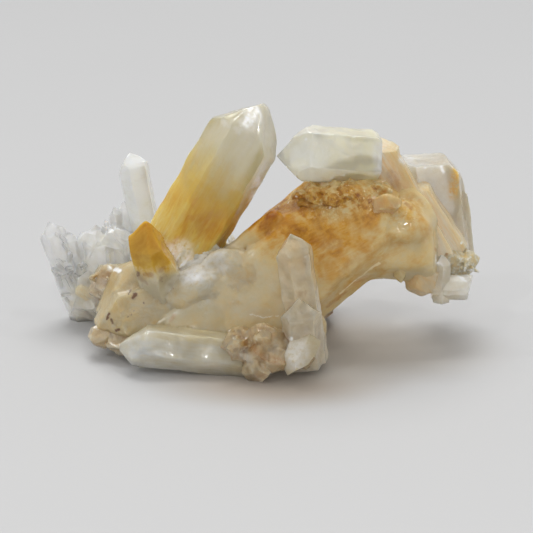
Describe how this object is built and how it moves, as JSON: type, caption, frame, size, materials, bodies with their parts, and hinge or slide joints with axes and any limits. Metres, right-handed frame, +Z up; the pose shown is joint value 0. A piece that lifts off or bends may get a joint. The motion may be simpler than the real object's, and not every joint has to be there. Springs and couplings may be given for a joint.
{
  "type": "mango quartz point cluster",
  "caption": "Cluster of intergrown quartz points with mango-yellow phantoms, resting on its own broken base as a display mineral.",
  "frame": {"origin": "under the middle of the cluster's box, at the height of the plane it rests on", "axes": "+Z up, +X along the cluster's width to the right in the picture, +Y away from the picture's camera"},
  "size_m": [0.0962, 0.0526, 0.052],
  "materials": {
    "mango_quartz": "gloss"
  },
  "bodies": {
    "root": {"quartz_cluster": "mango_quartz"}
  },
  "joints": []
}
